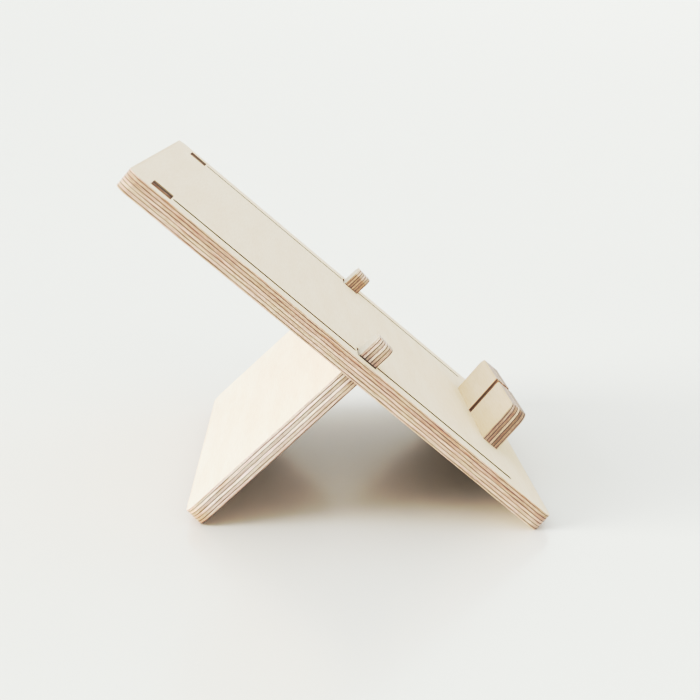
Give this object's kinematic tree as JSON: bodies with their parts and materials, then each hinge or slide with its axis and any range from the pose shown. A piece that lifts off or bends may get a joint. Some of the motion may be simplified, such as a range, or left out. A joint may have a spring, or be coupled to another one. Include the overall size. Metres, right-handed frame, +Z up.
{
  "type": "tablet stand",
  "caption": "Plywood tablet stand: a slotted back panel leans on a plug-in rear leg, and a ledge with a cable gap holds the tablet.",
  "frame": {"origin": "on the floor, under the middle of the standing stand", "axes": "+Z up, +X towards the front, where the tablet faces, Y across the width"},
  "size_m": [0.1822, 0.215, 0.1572],
  "materials": {
    "birch_plywood": "sanded, unvarnished, with plain ply edges"
  },
  "bodies": {
    "stand": {"back_panel": "birch_plywood", "ledge": "birch_plywood"},
    "leg": {"rear_leg": "birch_plywood"}
  },
  "joints": [
    {"name": "leg_slide", "type": "slide", "parent": "stand", "child": "leg", "axis": [-0.737, 0, -0.6759], "range_m": [0, 0.0205]}
  ]
}
